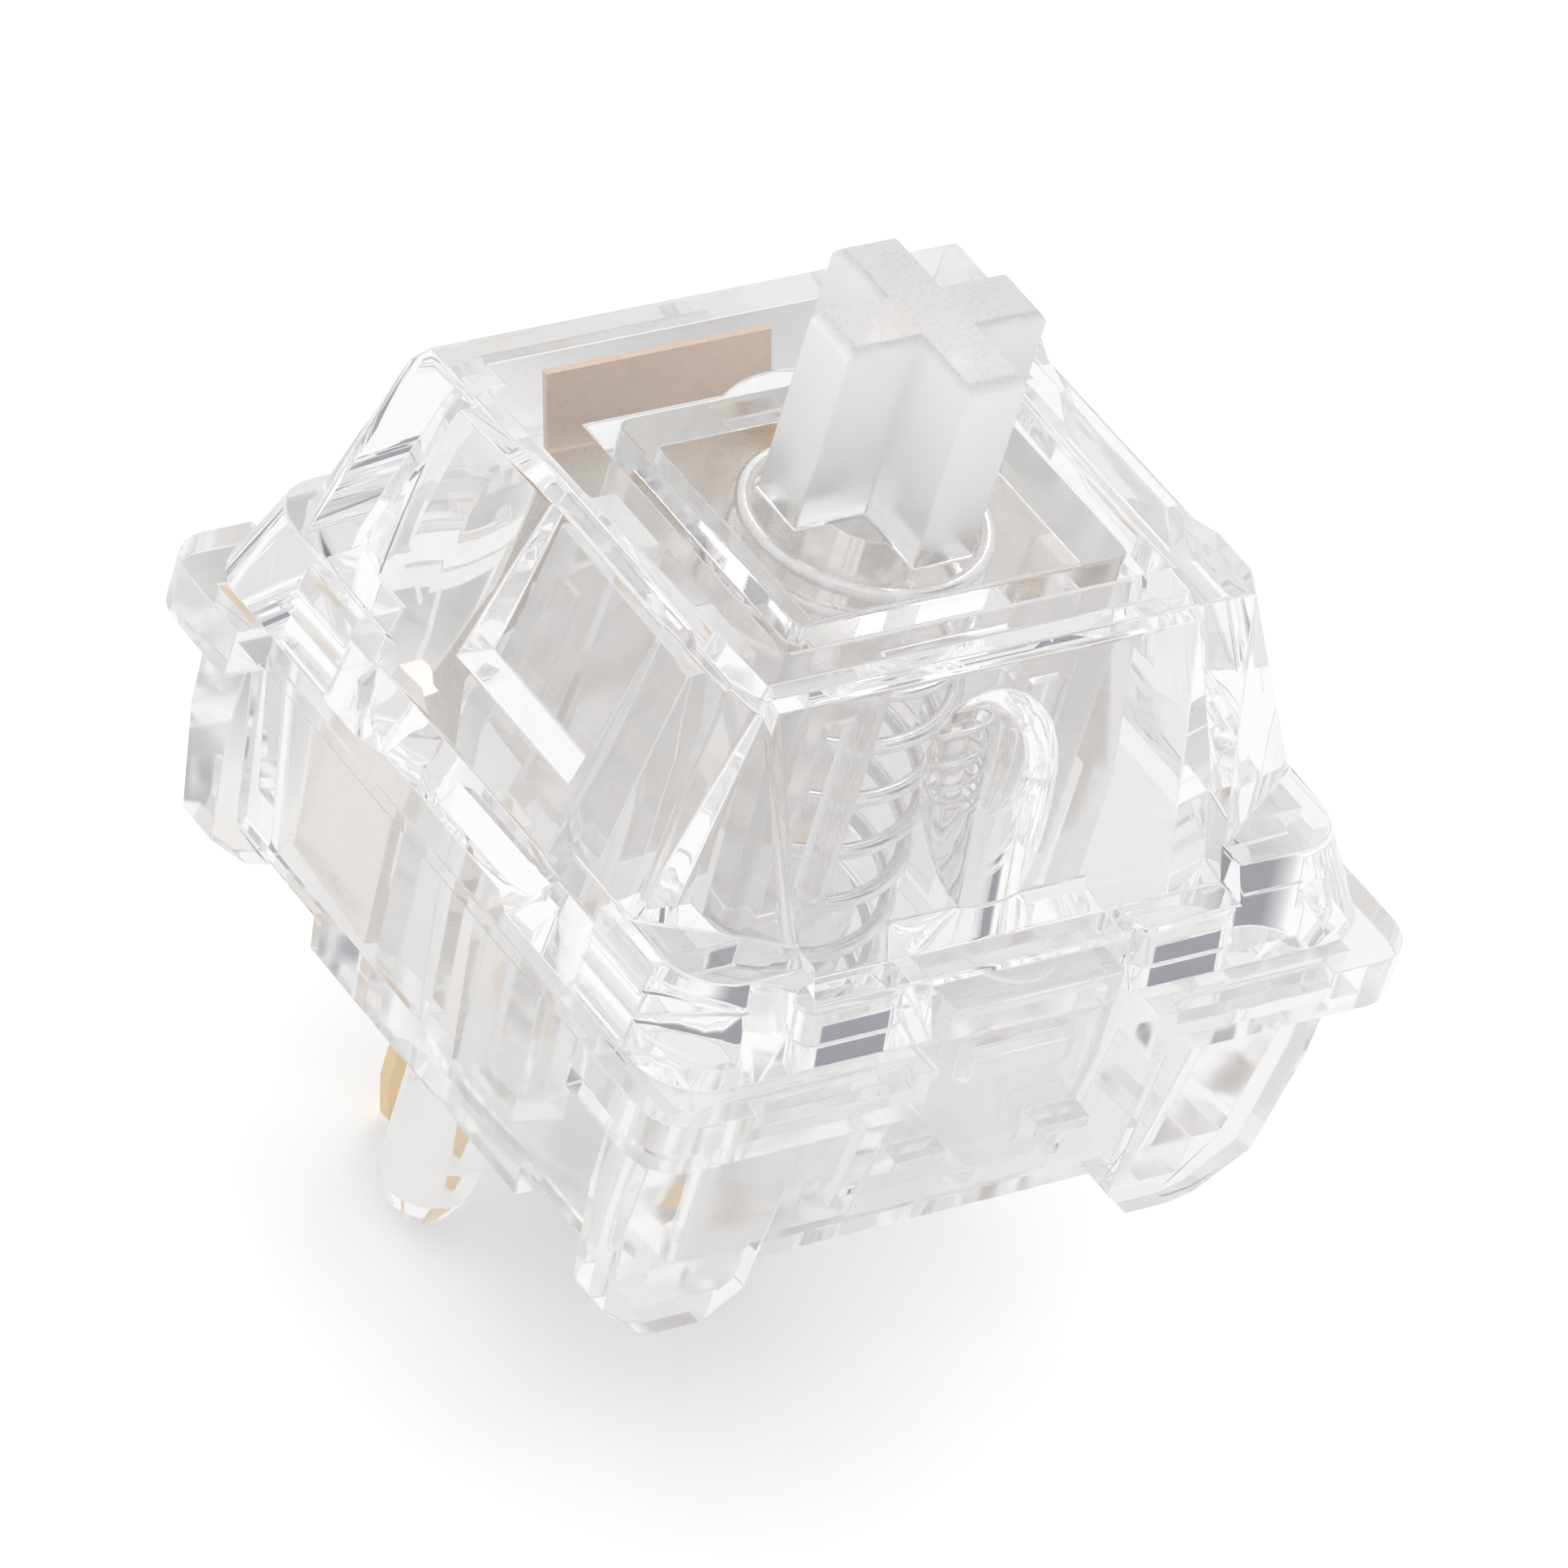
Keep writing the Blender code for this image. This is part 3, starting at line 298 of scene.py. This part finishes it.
def flat_regions(bm):
    """Number of the flat region of each face, and the area of each region."""
    region = {}
    areas = []
    for seed in bm.faces:
        if seed in region:
            continue
        region[seed] = len(areas)
        area = 0.0
        stack = [seed]
        while stack:
            face = stack.pop()
            area += face.calc_area()
            for edge in face.edges:
                for other in edge.link_faces:
                    if other not in region and face.normal.dot(other.normal) > FLAT_DOT:
                        region[other] = region[seed]
                        stack.append(other)
        areas.append(area)
    return region, areas


def corner_normals(bm):
    """Normal of each face corner: flats stay flat and the bevels between them look round."""
    region, areas = flat_regions(bm)
    normals = []
    for face in bm.faces:
        for corner in face.loops:
            fan = {face}
            stack = [face]
            while stack:
                for edge in stack.pop().edges:
                    if corner.vert not in edge.verts:
                        continue
                    a, b = edge.link_faces
                    if a.normal.dot(b.normal) > CREASE_DOT:
                        fresh = {a, b} - fan
                        fan |= fresh
                        stack.extend(fresh)
            parts = {region[f]: f.normal * areas[region[f]] for f in fan}
            normals.append(sum(parts.values(), Vector()).normalized())
    return normals


def rounded(node, width):
    """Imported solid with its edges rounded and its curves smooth."""
    bm = bmesh.new()
    bm.from_mesh(nodes[node].data)
    bmesh.ops.remove_doubles(bm, verts=bm.verts, dist=1e-6)
    edges = [e for e in bm.edges if e.calc_face_angle() > math.radians(SHARP_ANGLE)]
    bmesh.ops.bevel(bm, geom=edges, offset=width, segments=2, profile=0.5, affect="EDGES",
                    clamp_overlap=False)
    bm.normal_update()
    normals = corner_normals(bm)
    mesh = bpy.data.meshes.new(node + "_round")
    bm.to_mesh(mesh)
    bm.free()
    mesh.shade_smooth()
    mesh.normals_split_custom_set(normals)
    return mesh


def coil_height(turn, low, high):
    """Height of the wire's centre after a number of turns; the end turns lie closed."""
    pitch = 2.0 * WIRE_RADIUS + CLOSED_GAP
    if turn < CLOSED_TURNS:
        return low + pitch * turn
    if turn > SPRING_TURNS - CLOSED_TURNS:
        return high - pitch * (SPRING_TURNS - turn)
    rise = high - low - 2.0 * CLOSED_TURNS * pitch
    return low + pitch * CLOSED_TURNS + rise * (turn - CLOSED_TURNS) / (SPRING_TURNS - 2.0 * CLOSED_TURNS)


def spring_mesh(per_turn=60, ring=14):
    """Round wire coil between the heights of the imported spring."""
    lowest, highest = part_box("return_spring")
    low = lowest[2] + WIRE_RADIUS
    high = highest[2] - WIRE_RADIUS
    steps = int(SPRING_TURNS * per_turn)
    verts = []
    for i in range(steps + 1):
        turn = i / per_turn
        a = 2.0 * math.pi * turn
        z = coil_height(turn, low, high)
        for k in range(ring):
            b = 2.0 * math.pi * k / ring
            r = COIL_RADIUS + WIRE_RADIUS * math.cos(b)
            verts.append((r * math.cos(a), r * math.sin(a), z + WIRE_RADIUS * math.sin(b)))
    faces = []
    for i in range(steps):
        for k in range(ring):
            m = (k + 1) % ring
            faces.append((i * ring + k, (i + 1) * ring + k, (i + 1) * ring + m, i * ring + m))
    faces.append(tuple(range(ring)))
    faces.append(tuple(reversed(range(steps * ring, (steps + 1) * ring))))
    mesh = bpy.data.meshes.new("spring_coil")
    mesh.from_pydata(verts, [], faces)
    mesh.shade_smooth()
    return mesh


def make_pieces():
    """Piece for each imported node. The clear shells cast no shadow."""
    for name, mat, node, body, slot, width in PIECES:
        piece = add_piece(name, rounded(node, width), mat, node, body)
        piece.visible_shadow = mat not in (CLEAR_LOWER, CLEAR_UPPER)
    coil = add_piece("spring_coil", spring_mesh(), WIRE, "return_spring", "case")
    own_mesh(coil)


# Floor, light and camera
def painted_shadow_spot(tree, vector, centre, radius, dark):
    """Factor of painted shadow that falls to a dark value near a point."""
    gap = tree.nodes.new("ShaderNodeVectorMath")
    gap.operation = "DISTANCE"
    gap.inputs[1].default_value = centre
    tree.links.new(vector, gap.inputs[0])
    return spread(tree, gap.outputs["Value"], dark, 1.0, 0.2 * radius, radius)


def floor_material():
    """White floor that keeps the shadow, and that clear and shiny surfaces see as a lit sheet with spots of
    painted shadow near the object.
    """
    mat, tree, shader = new_material("floor_white")
    mat.cycles.emission_sampling = "NONE"
    shader.inputs["Roughness"].default_value = 0.9
    shader.inputs["Emission Color"].default_value = (1.0, 1.0, 1.0, 1.0)
    path = tree.nodes.new("ShaderNodeLightPath").outputs
    seen = calc(tree, "MAXIMUM", path["Is Glossy Ray"], path["Is Transmission Ray"])
    place = tree.nodes.new("ShaderNodeTexCoord").outputs["Object"]
    # Painted shadow: soft dark spots near the object on the sheet that clear and shiny surfaces see
    one, two = [painted_shadow_spot(tree, place, *spot) for spot in PAINTED_SHADOW_SPOTS]
    painted_shadow = calc(tree, "MULTIPLY", one, two)
    own = (FLOOR_TONE, FLOOR_TONE, FLOOR_TONE)
    sheet = calc(tree, "MULTIPLY", painted_shadow, SHEET_TONE)
    tree.links.new(blend(tree, seen, own, sheet), shader.inputs["Base Color"])
    lift = calc(tree, "MULTIPLY", path["Is Camera Ray"], FLOOR_LIFT)
    glow = calc(tree, "MULTIPLY_ADD", calc(tree, "MULTIPLY", seen, painted_shadow), SHEET_GLOW, lift)
    tree.links.new(glow, shader.inputs["Emission Strength"])
    return mat


def floor():
    half = FLOOR_HALF
    mesh = bpy.data.meshes.new("floor")
    mesh.from_pydata([(-half, -half, FLOOR_Z), (half, -half, FLOOR_Z), (half, half, FLOOR_Z),
                      (-half, half, FLOOR_Z)], [], [(0, 1, 2, 3)])
    ob = bpy.data.objects.new("floor", mesh)
    bpy.context.scene.collection.objects.link(ob)
    ob.data.materials.append(floor_material())
    return ob


def patch(tree, vector, aim, start, end, tone):
    """White that turns to a tone round a direction."""
    dot = tree.nodes.new("ShaderNodeVectorMath")
    dot.operation = "DOT_PRODUCT"
    dot.inputs[1].default_value = Vector(aim).normalized()
    tree.links.new(vector, dot.inputs[0])
    ramp = tree.nodes.new("ShaderNodeValToRGB")
    for element, place, rgb in zip(ramp.color_ramp.elements, (start, end), ((1.0, 1.0, 1.0), tone)):
        element.position = place
        element.color = (*rgb, 1.0)
    tree.links.new(dot.outputs["Value"], ramp.inputs["Fac"])
    return ramp.outputs["Color"]


def world():
    """White studio with two soft grey patches."""
    studio = bpy.data.worlds.new("studio")
    bpy.context.scene.world = studio
    studio.use_nodes = True
    studio.cycles.sampling_method = "NONE"
    tree = studio.node_tree
    back = tree.nodes["Background"]
    vector = tree.nodes.new("ShaderNodeTexCoord").outputs["Generated"]
    one, two = [patch(tree, vector, *row) for row in STUDIO_PATCHES]
    tree.links.new(blend(tree, 1.0, one, two, "MULTIPLY"), back.inputs["Color"])
    back.inputs["Strength"].default_value = STUDIO_STRENGTH


def key_lamp(lit):
    """Square lamp aimed at the origin that lights only the given objects."""
    data = bpy.data.lights.new("key", "AREA")
    data.size = KEY_SIDE
    data.energy = KEY_POWER
    ob = bpy.data.objects.new("key", data)
    ob.location = KEY_AT
    ob.rotation_euler = (-Vector(KEY_AT)).to_track_quat("-Z", "Y").to_euler()
    bpy.context.scene.collection.objects.link(ob)
    ob.light_linking.receiver_collection = bpy.data.collections.new("key_lit")
    for target in lit:
        ob.light_linking.receiver_collection.objects.link(target)


def camera():
    data = bpy.data.cameras.new("camera")
    data.lens = CAMERA_LENS
    data.sensor_width = SENSOR_WIDTH
    data.clip_start = 0.001
    ob = bpy.data.objects.new("camera", data)
    bpy.context.scene.collection.objects.link(ob)
    right = CAMERA_RIGHT.normalized()
    back = right.cross(CAMERA_UP).normalized()
    up = back.cross(right)
    turn = Matrix((right, up, back)).transposed().to_4x4()
    ob.matrix_world = Matrix.Translation(CAMERA_AT) @ turn
    bpy.context.scene.camera = ob


make_pieces()
ground = floor()
world()
key_lamp([*(bpy.data.objects[name] for name in KEY_LIT), ground])
camera()
bpy.context.scene.view_settings.view_transform = "Standard"

cycles = bpy.context.scene.cycles
cycles.max_bounces = BOUNCES
cycles.transmission_bounces = BOUNCES
cycles.glossy_bounces = BOUNCES
cycles.diffuse_bounces = DIFFUSE_BOUNCES
